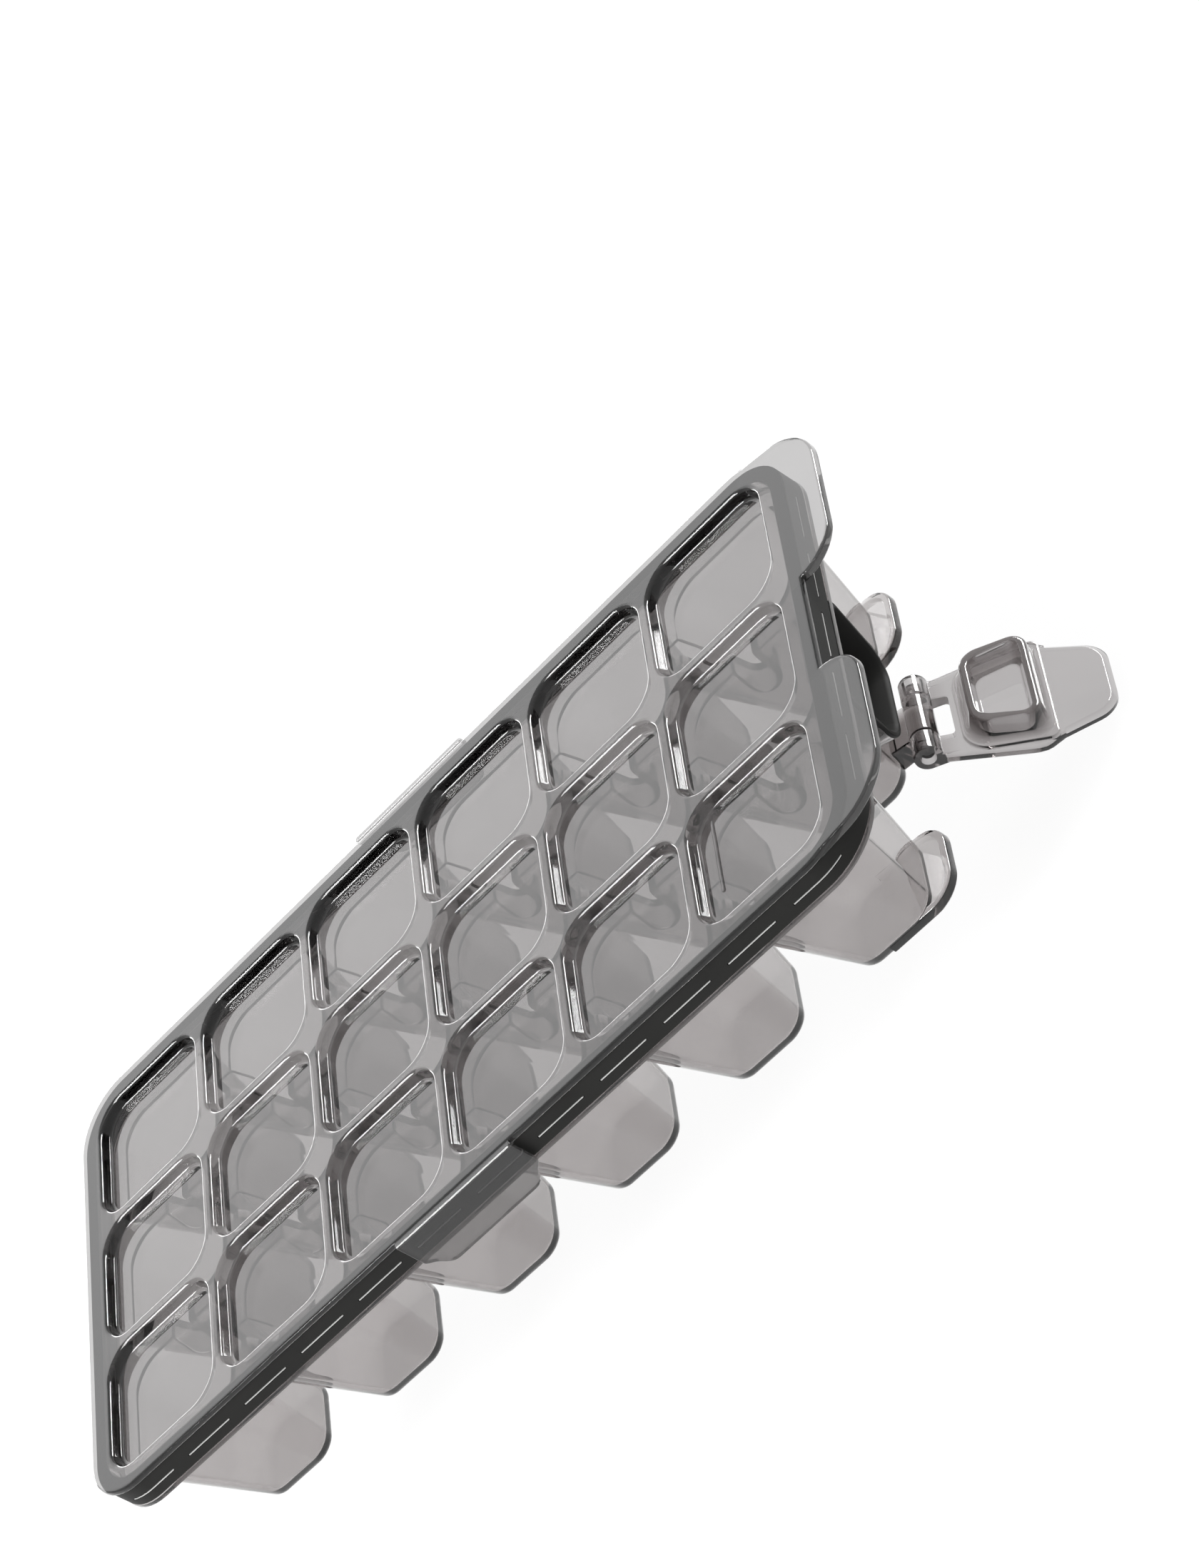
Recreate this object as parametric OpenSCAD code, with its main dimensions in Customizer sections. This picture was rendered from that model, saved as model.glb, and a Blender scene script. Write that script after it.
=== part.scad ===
// Lidded ice cube tray with a silicone rim seal and a hinged fill flap.
// The tray stands on the bottoms of its cups at z = 0. The origin is the middle of the
// bottom of the middle-row cup just past the centre of the tray, on the flap's side.
// +X runs along the tray towards the fill flap, +Z points up out of the lid.

/* [Grid of cups] */
// Cups along the tray
columns = 6; // [4:1:8]
// Cups across the tray, odd so that a middle row carries the spout
rows = 3; // [3:2:5]
// Distance between cup centres along the tray
pitch_x = 38; // [36:0.5:44]
// Distance between cup centres across the tray
pitch_y = 38; // [36:0.5:44]

/* [Cups] */
// Height of the top of the deck above the bottoms of the cups
deck_z = 31.3; // [29:0.1:36]
// Thickness of the deck and of its outer flange
deck_t = 1.2; // [1:0.1:2]
// Open gap between neighbouring cups under the deck, along the tray
gap_x = 3.4; // [2.8:0.1:5]
// Open gap between neighbouring cups under the deck, across the tray
gap_y = 3.4; // [2.8:0.1:5]
// Draft of the cup walls, in degrees
cup_draft = 13.1; // [9:0.1:14]
// Thickness of the cup walls and bottoms
cup_wall = 1.4; // [1:0.1:2]
// Corner radius of a cup at its bottom
cup_corner_low = 5; // [4:0.5:6]
// Corner radius of a cup under the deck
cup_corner_high = 8; // [6:0.5:10]
// Height of the rounding between a cup's wall and its bottom
cup_round = 1.4; // [1:0.1:2.5]

/* [Flow channels] */
// Width of the channel that lets water pass to the next cup
channel_w = 5.5; // [4:0.1:7]
// Depth of the channel below the top of the deck
channel_d = 8; // [5:0.5:11]
// Wall of the small trough that carries the channel across the gap
channel_wall = 1.3; // [1:0.1:2]

/* [Rim] */
// How far the lid reaches past the grid of cups at the two ends
rim_end = 5.3; // [5:0.1:9]
// How far the lid reaches past the grid of cups at the two sides
rim_side = 4.6; // [4.4:0.1:8]
// Corner radius of the lid in plan
rim_corner = 14.5; // [12:0.5:18]
// Height of the upright wall that the seal is pushed over
upstand_h = 4.6; // [4:0.1:5]
// Thickness of the upright wall
upstand_t = 1.3; // [1:0.1:1.6]

/* [Seal] */
// Thickness of the seal's outer band
band_t = 2.2; // [1.8:0.1:2.4]
// How far the seal's outer face stays inside the lid's edge
band_inset = 0.4; // [0.3:0.1:0.8]
// How far the flange's edge stays inside the lid's edge
flange_inset = 0.3; // [0.2:0.1:0.8]
// Length of a slot in the band, with the keeper rib that shows in it
slot_l = 14; // [10:0.5:16]
// Height of a slot in the band
slot_h = 0.9; // [0.7:0.1:1.6]
// Height of the slots' middle above the deck
slot_z = 2.7; // [2:0.1:3.4]
// Clearance of a keeper rib in its slot
slot_gap = 0.15; // [0.1:0.05:0.3]

/* [Lid] */
// Free height between the deck and the lid's window panels
lid_gap = 1.5; // [1:0.1:3]
// Thickness of a window panel
panel_t = 1.5; // [1.2:0.1:2.4]
// Depth of a window below the lid's top
window_d = 4.7; // [4:0.1:6.5]
// Thickness of the lid's edge flange
lid_flange_t = 1.5; // [1.2:0.1:2]
// Width of the rib between two windows at the lid's top
rib_w = 2.6; // [2:0.1:5]
// Corner radius of a window
window_corner = 8; // [6:0.5:10]
// How far a window's wall leans in from its top to its floor
window_lean = 1.2; // [0.6:0.1:2]
// Room between the lid's inner block and the seal's inner edge
lid_clear = 0.4; // [0.3:0.1:0.8]

/* [Lid ears and lift tabs] */
// How far the two ears reach past the lid's end
ear_reach = 9.6; // [8:0.1:13]
// Thickness of an ear
ear_t = 2; // [1.8:0.1:3]
// Half of the gap between the ears at the lid's edge
ear_gap_root = 14; // [13:0.5:18]
// Half of the gap between the ears at their tips
ear_gap_tip = 24; // [20:0.5:28]
// Length of a lift tab at its top
tab_top_l = 36; // [30:1:48]
// Length of a lift tab at its lower edge
tab_low_l = 26; // [20:1:28]
// Thickness of a lift tab
tab_t = 1.4; // [1:0.1:2]
// How far a lift tab hangs below the deck's top
tab_drop = 4.8; // [3:0.1:8]

/* [End feet] */
// How far a foot reaches past the bottom of its end cup
foot_reach = 6.8; // [5:0.1:9]
// Thickness of a foot's plate
foot_t = 1.6; // [1.2:0.1:2.4]
// Height of the raised edge round a foot
foot_edge_h = 2.4; // [2:0.1:4]
// Width of the raised edge round a foot
foot_edge_w = 1.5; // [1:0.1:2]
// Corner radius of a foot
foot_corner = 7; // [5:0.5:8]

/* [Hinge] */
// Distance of the hinge axis from the centre of the end cup
hinge_x = 18.6; // [18:0.1:20]
// Height of the hinge axis above the bottoms of the cups
hinge_z = 3.2; // [3.2:0.1:5]
// Radius of the hinge barrel
knuckle_r = 3.1; // [2.6:0.1:3.2]
// Length of the whole hinge barrel
barrel_l = 23; // [22:0.1:26]
// Length of the tray's knuckle in the middle
mid_knuckle_l = 11; // [8:0.1:12]
// Radius of the stub pins on the tray's knuckle
pin_r = 1.55; // [1.2:0.05:1.7]
// Length of a stub pin
pin_l = 4.6; // [3:0.1:5]
// Radial clearance of a stub pin in its bore
pin_gap = 0.1; // [0.05:0.01:0.15]
// Running gap between the knuckles
knuckle_gap = 0.3; // [0.2:0.05:0.5]

/* [Spout] */
// Lean of the closed flap away from upright, in degrees
lean = 12; // [11:0.5:14]
// Distance of the spout's mouth inside the hinge axis
mouth_in = 1.1; // [0.8:0.1:1.6]
// Distance of the spout seal's lower edge from the hinge axis
spout_low = 7.2; // [6.5:0.1:9]
// Width of the spout seal at its lower edge
spout_low_w = 26.4; // [24:0.2:28]
// Width of the spout seal at its upper edge
spout_high_w = 31.6; // [28:0.2:34]
// Corner radius of the spout seal at its lower edge
spout_corner = 6; // [5:0.5:7]
// Corner radius of the spout seal at its upper edge
spout_corner_high = 2.2; // [1.5:0.1:3]
// Wall of the collar that holds the spout seal
collar_wall = 1; // [0.9:0.1:1.2]
// Thickness of the seal's face in front of the collar
face_t = 0.8; // [0.6:0.1:1.2]
// Depth of the spout seal
spout_d = 6.2; // [5.8:0.1:7]
// Width of the seal's lip round its seat
lip_w = 0.9; // [0.6:0.1:1.2]
// Wall of the seal inside the collar
seal_wall = 0.6; // [0.5:0.1:1]
// Depth of the seat for the flap's plug
seat_d = 5.2; // [5:0.1:5.6]
// Draft of the seat and the plug, in degrees
seat_draft = 12; // [8:0.5:15]
// Width of the fill port behind the seat
port_w = 15; // [10:0.5:17]
// Height of the fill port
port_h = 7.5; // [5:0.5:9]
// Distance of the fill port's lower edge from the hinge axis
port_low = 14.5; // [13:0.5:15]
// Clearance between a seal and what it is pushed on or into
seal_gap = 0.05; // [0.02:0.01:0.1]

/* [Flap] */
// Angle that the flap is opened by, from closed, in degrees
flap_open = 112.8; // [0:0.1:125]
// Length of the flap from the hinge axis to its tip
flap_l = 39.7; // [38:0.1:44]
// Thickness of the flap's plate
flap_t = 2.1; // [1.8:0.1:2.6]
// Height of the low pad round the plug
pad_h = 0.8; // [0.6:0.1:1.2]
// Gap between the pad and the spout seal when closed
pad_gap = 0.4; // [0.3:0.1:0.8]
// Clearance of the plug in its seat
plug_gap = 0.35; // [0.3:0.05:0.6]
// Height of the plug above its pad
plug_h = 5.1; // [4:0.1:5.2]
// Wall of the hollow plug
plug_wall = 1.8; // [1.4:0.1:2.4]
// Width of the finger tab at its end
finger_w = 22; // [16:0.5:26]
// Radius of the finger tab's corners
finger_r = 5; // [4:0.5:6]
// How far the flap's plate stands out beyond the spout seal at each side
flap_side = 0.5; // [0.3:0.1:0.8]
// Distance from the spout's upper edge down to where the plate begins to narrow
shoulder_l = 3.6; // [3:0.1:5]
// How much wider than its end the finger tab is at its root, on each side
finger_flare = 2.4; // [2:0.1:3]
// How far the plate is cut back beyond the barrel, round the tray's knuckle
hinge_notch = 3.3; // [1:0.1:4]

/* [Hidden] */
$fn = 48;
eps = 0.01;
clear_smoke = [0.55, 0.54, 0.54, 0.55];
charcoal = [0.17, 0.17, 0.16];

home_column = ceil(columns / 2);
mid_x = ((columns - 1) / 2 - home_column) * pitch_x;
end_cup_x = (columns - 1 - home_column) * pitch_x;
half_x = columns * pitch_x / 2 + rim_end;
half_y = rows * pitch_y / 2 + rim_side;
strip_edge = (rows / 2 - 1) * pitch_y;
end_x = mid_x + half_x;

draft_run = tan(cup_draft);
deck_low = deck_z - deck_t;
cup_high_x = (pitch_x - gap_x) / 2;
cup_high_y = (pitch_y - gap_y) / 2;
cup_low_x = cup_high_x - deck_low * draft_run;
cup_low_y = cup_high_y - deck_low * draft_run;

lid_low = deck_z + lid_gap;
lid_top = lid_low + panel_t + window_d;
seal_top = lid_top - lid_flange_t;
upstand_in = band_inset + band_t;
block_inset = upstand_in + upstand_t + lid_clear;

hinge_at = [end_cup_x + hinge_x, 0, hinge_z];
flap_lean = lean + flap_open;
mouth_s0 = spout_low;
mouth_s1 = (deck_low - hinge_z - mouth_in * sin(lean)) / cos(lean) - 0.1;
pad_top = mouth_in - pad_gap;
plate_top = pad_top - pad_h;
plate_low = plate_top - flap_t;

function column_x(i) = (i - home_column) * pitch_x;
function row_y(j) = (j - (rows - 1) / 2) * pitch_y;
function arc(cx, cy, r, from, to, steps = 6) =
    [for (k = [0:steps]) let (a = from + (to - from) * k / steps) [cx + r * cos(a), cy + r * sin(a)]];

// Points of a rounded rectangle at height z, for lofts
function rounded_ring(hx, hy, r, z, steps = 4) =
    [for (q = [0:3], k = [0:steps])
        let (a = 90 * q + 90 * k / steps, sx = (q == 0 || q == 3) ? 1 : -1, sy = q < 2 ? 1 : -1)
            [sx * (hx - r) + r * cos(a), sy * (hy - r) + r * sin(a), z]];

// Outline of the spout, drawn in by inset: wider at its upper edge, with rounded corners
function spout_ring(inset, steps = 4) =
    [for (q = [0:3], k = [0:steps])
        let (a = 90 * q + 90 * k / steps,
             sx = (q == 0 || q == 3) ? 1 : -1,
             hw = (q < 2 ? spout_high_w : spout_low_w) / 2 - inset,
             r = q < 2 ? spout_corner_high : max(spout_corner - inset, 1),
             s = q < 2 ? mouth_s1 - inset - r : mouth_s0 + inset + r)
            [sx * (hw - r) + r * cos(a), s + r * sin(a)]];

function lifted(ring, z) = [for (p = ring) [p[0], p[1], z]];

// Solid through rings of equal point counts, lowest ring first
module loft(rings) {
    n = len(rings[0]);
    last = (len(rings) - 1) * n;
    polyhedron(
        points = [for (ring = rings, p = ring) p],
        faces = concat(
            [[for (i = [0:n - 1]) i]],
            [[for (i = [n - 1:-1:0]) last + i]],
            [for (k = [0:len(rings) - 2], i = [0:n - 1])
                let (a = k * n + i, b = k * n + (i + 1) % n) [a, a + n, b + n, b]]));
}

module rounded_rect(hx, hy, r) {
    square([2 * hx, 2 * (hy - r)], center = true);
    square([2 * (hx - r), 2 * hy], center = true);
    for (sx = [-1, 1], sy = [-1, 1])
        translate([sx * (hx - r), sy * (hy - r)]) circle(r);
}

// The lid's outline drawn in by inset, as a plate from z0 to z1
module rim_plate(inset, z0, z1) {
    translate([mid_x, 0, z0])
        linear_extrude(z1 - z0)
            rounded_rect(half_x - inset, half_y - inset, rim_corner - inset);
}

module at_cups(which = [0:rows - 1]) {
    for (i = [0:columns - 1], j = which)
        translate([column_x(i), row_y(j), 0]) children();
}

// Places a shape at the middle of every wall between a cup of these rows and a neighbour, along its X
module at_channels(which) {
    for (i = [0:columns - 2], j = which)
        translate([column_x(i) + pitch_x / 2, row_y(j), 0]) children();
    for (i = [0:columns - 1], j = [0:rows - 2])
        if (len([for (k = which) if (k == j || k == j + 1) k]) > 0)
            translate([column_x(i), row_y(j) + pitch_y / 2, 0]) rotate([0, 0, 90]) children();
}

// Places a shape at every slot of the seal, with +X pointing outwards and X = 0 at the lid's edge
module at_slots() {
    for (side = [-1, 1]) {
        for (i = [0:2 * columns - 1])
            translate([mid_x + (i - columns + 0.5) * pitch_x / 2, side * half_y, deck_z + slot_z])
                rotate([0, 0, side * 90]) children();
        for (j = [0:2 * rows - 2])
            translate([mid_x + side * half_x, (j - rows + 1) * pitch_y / 2, deck_z + slot_z])
                rotate([0, 0, side > 0 ? 0 : 180]) children();
    }
}

// Places a shape on the hinge axis: its X runs along the axis, its Y from the hinge along the
// flap, its Z to the flap's inner side; turn is the flap's angle from upright
module at_hinge(turn) {
    translate(hinge_at) rotate([0, turn, 0]) rotate([90, 0, -90]) children();
}

module along_axis(from, to, r) {
    translate([from, 0, 0]) rotate([0, 90, 0]) cylinder(r = r, h = to - from);
}

module cup_outside() {
    loft([
        rounded_ring(cup_low_x - cup_round * 0.6, cup_low_y - cup_round * 0.6, cup_corner_low - 0.8, 0),
        rounded_ring(cup_low_x + cup_round * draft_run, cup_low_y + cup_round * draft_run,
            cup_corner_low, cup_round),
        rounded_ring(cup_high_x, cup_high_y, cup_corner_high, deck_low + eps)]);
}

module cup_inside() {
    top = deck_z + 1;
    low_r = cup_corner_low - cup_wall;
    floor_x = cup_low_x + (cup_wall + cup_round) * draft_run - cup_wall;
    floor_y = cup_low_y + (cup_wall + cup_round) * draft_run - cup_wall;
    rise = (top - cup_wall - cup_round) * draft_run;
    loft([
        rounded_ring(floor_x - cup_round * 0.6, floor_y - cup_round * 0.6, low_r, cup_wall),
        rounded_ring(floor_x, floor_y, low_r + 0.8, cup_wall + cup_round),
        rounded_ring(floor_x + rise, floor_y + rise, cup_corner_high - cup_wall, top)]);
}

module channel_profile(w, depth, top) {
    translate([-w / 2, deck_z - depth + w / 2]) square([w, depth - w / 2 + top]);
    translate([0, deck_z - depth + w / 2]) circle(w / 2);
}

// A channel's trough or its water way, across the wall between two cups
module channel(w, depth, top) {
    reach = max(gap_x, gap_y) + 2 * channel_d * draft_run + 4 * cup_wall;
    translate([-reach / 2, 0, 0]) rotate([90, 0, 90])
        linear_extrude(reach) channel_profile(w, depth, top);
}

module keeper_rib() {
    w = slot_l - 2 * slot_gap;
    h = slot_h - 2 * slot_gap;
    translate([-upstand_in - eps, -w / 2, -h / 2]) cube([band_t + 0.1 + eps, w, h]);
}

module band_slot() {
    translate([-upstand_in - 0.5, -slot_l / 2, -slot_h / 2]) cube([band_t + 1, slot_l, slot_h]);
}

module foot_outline(inset) {
    far = cup_low_x + foot_reach - inset;
    half = cup_low_y + 0.6 - inset;
    r = foot_corner - inset;
    translate([0, -half]) square([far - r, 2 * half]);
    translate([0, -half + r]) square([far, 2 * (half - r)]);
    for (side = [-1, 1]) translate([far - r, side * (half - r)]) circle(r);
}

// A clear foot that sticks out at the bottom of an end cup, with a raised edge
module end_foot() {
    linear_extrude(foot_t) foot_outline(0);
    linear_extrude(foot_edge_h) difference() {
        foot_outline(0);
        foot_outline(foot_edge_w);
    }
}

// Arm and knuckle that carry the flap, on the bottom of the middle end cup
module hinge_bracket() {
    half = mid_knuckle_l / 2;
    root = end_cup_x + cup_low_x - cup_wall;
    translate([0, half, 0]) rotate([90, 0, 0]) linear_extrude(mid_knuckle_l)
        polygon([
            [root, 0.8],
            [hinge_at[0], hinge_z - knuckle_r],
            [hinge_at[0], hinge_z + knuckle_r * 0.5],
            [root + cup_wall, hinge_z + knuckle_r]]);
    at_hinge(lean) {
        along_axis(-half, half, knuckle_r);
        along_axis(-half - pin_l, half + pin_l, pin_r);
    }
}

// Clear collar on the end cup that the spout seal is pushed into
module spout_block() {
    at_hinge(lean) translate([0, 0, mouth_in + face_t + seal_gap])
        linear_extrude(spout_d + collar_wall - face_t) polygon(spout_ring(0));
}

module spout_pocket() {
    at_hinge(lean) translate([0, 0, mouth_in - 1])
        linear_extrude(spout_d + seal_gap + 1) polygon(spout_ring(collar_wall));
}

module fill_port() {
    at_hinge(lean)
        translate([-port_w / 2, port_low, mouth_in]) cube([port_w, port_h, spout_d + 9]);
}

// Deck, outer flange and upright wall that all the cups hang from
module deck() {
    rim_plate(flange_inset, deck_low, deck_z);
    difference() {
        rim_plate(upstand_in, deck_z - eps, deck_z + upstand_h);
        rim_plate(upstand_in + upstand_t, deck_z - 1, deck_z + upstand_h + 1);
    }
    at_slots() keeper_rib();
}

// Collar and hinge that only the strip with the spout has
module spout_end() {
    hinge_bracket();
    intersection() {
        spout_block();
        rim_plate(0, 0, deck_low + eps);
    }
}

// One strip of the tray moulding: its rows of cups with their share of the deck and the rim.
// The strips are drawn apart and meet face to face, halfway between two rows.
module tray_strip(which, low, high, spout = false) {
    color(clear_smoke) difference() {
        intersection() {
            union() {
                at_cups(which) cup_outside();
                at_channels(which)
                    channel(channel_w + 2 * channel_wall, channel_d + channel_wall, -deck_t / 2);
                deck();
                for (j = which)
                    if (j != (rows - 1) / 2) translate([end_cup_x, row_y(j), 0]) end_foot();
                if (spout) spout_end();
            }
            translate([mid_x - half_x, low, 0]) cube([2 * half_x, high - low, lid_top]);
        }
        at_cups(which) cup_inside();
        at_channels(which) channel(channel_w, channel_d, 1);
        if (spout) {
            spout_pocket();
            fill_port();
        }
    }
}

module tray_near() {
    tray_strip([0:0], -half_y, -strip_edge);
}

module tray_middle() {
    tray_strip([1:rows - 2], -strip_edge, strip_edge, spout = true);
}

module tray_far() {
    tray_strip([rows - 1:rows - 1], strip_edge, half_y);
}

// Inverted gutter of silicone that is pushed over the tray's upstand
module rim_seal() {
    color(charcoal) difference() {
        rim_plate(band_inset, deck_z, seal_top);
        rim_plate(block_inset - lid_clear, deck_z - 1, seal_top + 1);
        rim_plate(upstand_in - seal_gap, deck_z - 1, deck_z + upstand_h + seal_gap);
        at_slots() band_slot();
    }
}

// The seat's hollow, or with a gap the plug that fits it, from one depth behind the mouth to another
module seat_shape(gap, from, to) {
    throat = collar_wall + seal_gap + seal_wall;
    flare = (throat - lip_w) / face_t;
    loft([
        lifted(spout_ring(lip_w + gap + from * flare), mouth_in + from),
        lifted(spout_ring(throat + gap), mouth_in + face_t),
        lifted(spout_ring(throat + gap + (to - face_t) * tan(seat_draft)), mouth_in + to)]);
}

// Silicone seat in the spout: the flap's plug closes it, water enters by the port behind it
module spout_seal() {
    color(charcoal) difference() {
        at_hinge(lean) translate([0, 0, mouth_in]) union() {
            linear_extrude(face_t) polygon(spout_ring(0));
            linear_extrude(spout_d) polygon(spout_ring(collar_wall + seal_gap));
        }
        at_hinge(lean) seat_shape(0, -0.5, seat_d);
        fill_port();
    }
}

module ear() {
    tip = end_x + ear_reach;
    inner_r = 5;
    outer_r = 9;
    polygon(concat(
        [[end_x - 10, ear_gap_root], [end_x, ear_gap_root]],
        arc(tip - inner_r, ear_gap_tip + 4, inner_r, -45, 0),
        arc(tip - outer_r, half_y - 5 - outer_r, outer_r, 0, 75),
        [[end_x - 8, half_y - 0.3], [end_x - 10, half_y - 2]]));
}

// Vertical plate that hangs from the lid's edge in front of the seal, to lift the lid by
module lift_tab() {
    r = 3.5;
    low = deck_z - tab_drop;
    face = half_y + 0.3;
    translate([mid_x, face + tab_t, 0]) rotate([90, 0, 0]) linear_extrude(tab_t)
        polygon(concat(
            [[tab_top_l / 2, lid_top], [-tab_top_l / 2, lid_top], [-tab_top_l / 2, deck_z]],
            arc(-tab_low_l / 2, low + r, r, 215, 270),
            arc(tab_low_l / 2, low + r, r, 270, 325),
            [[tab_top_l / 2, deck_z]]));
    translate([mid_x - tab_top_l / 2, half_y - 1, seal_top])
        cube([tab_top_l, 1.3 + tab_t / 2, lid_flange_t]);
}

module window() {
    hx = (pitch_x - rib_w) / 2;
    hy = (pitch_y - rib_w) / 2;
    slope = window_lean / window_d;
    loft([
        rounded_ring(hx - window_lean, hy - window_lean, window_corner - window_lean, lid_top - window_d),
        rounded_ring(hx + slope, hy + slope, window_corner + slope, lid_top + 1)]);
}

module lid() {
    color(clear_smoke) difference() {
        union() {
            rim_plate(0, seal_top, lid_top);
            rim_plate(block_inset, lid_low, lid_top - eps);
            for (side = [0, 1]) mirror([0, side, 0]) {
                intersection() {
                    translate([0, 0, lid_top - ear_t]) linear_extrude(ear_t) ear();
                    union() {
                        rim_plate(0, seal_top, lid_top);
                        translate([end_x + 0.3, -half_y, lid_top - ear_t])
                            cube([ear_reach + 1, 2 * half_y, ear_t]);
                        translate([end_x - rim_corner, -half_y - 1, seal_top])
                            cube([ear_reach + rim_corner + 1, 2 * half_y + 2, lid_flange_t]);
                    }
                }
                lift_tab();
            }
        }
        at_cups() window();
    }
}

module flap_outline() {
    half = [
        [barrel_l / 2 + flap_side, knuckle_r * 1.13],
        [spout_high_w / 2 + flap_side, mouth_s1 - 1.5 * shoulder_l],
        [spout_high_w / 2 + flap_side, mouth_s1 - shoulder_l],
        [finger_w / 2 + finger_flare, mouth_s1 + finger_flare * 0.65],
        each arc(finger_w / 2 - finger_r, flap_l - finger_r, finger_r, 0, 90)];
    polygon(concat(half, [for (k = [len(half) - 1:-1:0]) [-half[k][0], half[k][1]]]));
}

module flap() {
    inner = mid_knuckle_l / 2 + knuckle_gap;
    throat = collar_wall + seal_gap + seal_wall + plug_gap;
    color(clear_smoke) at_hinge(flap_lean) difference() {
        union() {
            translate([0, 0, plate_low]) linear_extrude(flap_t) flap_outline();
            translate([0, 0, plate_top - eps]) linear_extrude(pad_h + eps)
                polygon(spout_ring(0.5));
            seat_shape(plug_gap, -pad_gap - eps, plug_h - pad_gap);
            for (side = [0, 1]) mirror([side, 0, 0]) {
                along_axis(inner, barrel_l / 2, knuckle_r);
                translate([inner, 0, 0]) rotate([90, 0, 90]) linear_extrude(barrel_l / 2 - inner)
                    polygon([
                        [0, -knuckle_r],
                        [knuckle_r + 0.6, plate_low],
                        [knuckle_r + 2, plate_low],
                        [knuckle_r + 2, plate_top],
                        [knuckle_r * 0.8, plate_top],
                        [0, 0]]);
            }
        }
        loft([
            lifted(spout_ring(throat + plug_wall + 1.4), plate_top - 0.2),
            lifted(spout_ring(throat + plug_wall + 0.6), pad_top + plug_h + 0.5)]);
        along_axis(-barrel_l, barrel_l, pin_r + pin_gap);
        along_axis(-inner, inner, knuckle_r + knuckle_gap);
        translate([-inner, 0, plate_low - eps])
            cube([2 * inner, knuckle_r + hinge_notch, flap_t + 2 * eps]);
    }
}

tray_near();
tray_middle();
tray_far();
rim_seal();
spout_seal();
lid();
flap();
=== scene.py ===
# %% [markdown]
# # A lidded ice cube tray
# The tray is a clear smoke-grey moulding with eighteen tapered cups under one deck. A dark
# silicone gasket is pushed over the tray's rim, and a clear lid with a sunken window over each
# cup presses down on it. At one end a hinged flap with a hollow plug closes a fill spout.
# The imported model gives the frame, and every piece below is modelled over its nodes. Working in
# the frame's own place and scale means that nothing has to be fitted afterwards.

# %% Load the frame
import math

import bmesh
import bpy
from mathutils import Matrix, Vector


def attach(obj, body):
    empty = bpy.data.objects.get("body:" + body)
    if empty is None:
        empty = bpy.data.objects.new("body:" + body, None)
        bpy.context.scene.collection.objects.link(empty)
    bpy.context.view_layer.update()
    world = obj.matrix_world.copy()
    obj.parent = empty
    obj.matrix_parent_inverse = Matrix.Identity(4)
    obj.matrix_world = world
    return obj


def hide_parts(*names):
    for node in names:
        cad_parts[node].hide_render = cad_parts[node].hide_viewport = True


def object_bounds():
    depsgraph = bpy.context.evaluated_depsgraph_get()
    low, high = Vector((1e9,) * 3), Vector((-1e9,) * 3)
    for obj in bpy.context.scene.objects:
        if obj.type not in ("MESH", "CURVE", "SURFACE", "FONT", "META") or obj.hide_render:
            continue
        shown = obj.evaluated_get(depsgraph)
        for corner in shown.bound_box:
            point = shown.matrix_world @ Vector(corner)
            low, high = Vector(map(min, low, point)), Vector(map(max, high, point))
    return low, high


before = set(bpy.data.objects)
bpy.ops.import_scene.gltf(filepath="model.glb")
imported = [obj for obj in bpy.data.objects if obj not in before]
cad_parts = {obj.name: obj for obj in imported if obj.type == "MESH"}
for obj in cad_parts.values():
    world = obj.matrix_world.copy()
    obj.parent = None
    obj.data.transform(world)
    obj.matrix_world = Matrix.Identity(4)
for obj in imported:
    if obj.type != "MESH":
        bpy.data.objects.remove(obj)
cad_low, cad_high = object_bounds()
MM = 0.001
scene = bpy.context.scene
scene.view_settings.view_transform = "Standard"
print("nodes", sorted(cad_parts), "box", [round(x, 4) for x in (*cad_low, *cad_high)])

# %% [markdown]
# ## The camera
# The picture looks down on the near long side at about thirty degrees and is rolled, so that the
# tray climbs from the lower left to the upper right. A camera could be aimed by a constraint and
# rolled by eye. Here three unit vectors give its own axes, because one matrix then holds the aim
# and the roll together. The picture's optical axis lies below its middle, which is what the shift
# stands for.

# %% Place the camera
PICTURE_LONG_SIDE = 2197
AXIS_BELOW_MIDDLE = 400
FOCAL_PIXELS = 6866.68
SENSOR = 36.0
NEAREST, FARTHEST = 0.05, 20
camera_right = Vector((0.64872, -0.09822, -0.75466))
camera_up = Vector((0.59185, 0.68849, 0.41916))
camera_back = Vector((0.47841, -0.71856, 0.50478))
eye = Vector((484.16, -752.58, 521.88)) * MM
camera_data = bpy.data.cameras.new("camera")
camera_data.sensor_width = SENSOR
camera_data.lens = SENSOR * FOCAL_PIXELS / PICTURE_LONG_SIDE
camera_data.shift_y = AXIS_BELOW_MIDDLE / PICTURE_LONG_SIDE
camera_data.clip_start = NEAREST
camera_data.clip_end = FARTHEST
camera = bpy.data.objects.new("camera", camera_data)
turn = Matrix((camera_right, camera_up, camera_back)).transposed().to_4x4()
camera.matrix_world = Matrix.Translation(eye) @ turn
scene.collection.objects.link(camera)
scene.camera = camera
print("lens", round(camera_data.lens, 2), "shift", round(camera_data.shift_y, 4))

# %% [markdown]
# ## Tools for modelling
# An operator works on all that is selected, and the frame's own solids are selected when they have
# been loaded. So each tool first selects what it is about to change, and nothing else. A piece
# could keep its place in its object, but a pattern would then slide when the piece is exported.
# Settling a piece puts its move or turn into its mesh and leaves the object at the origin.

# %% Selecting and placing


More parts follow.
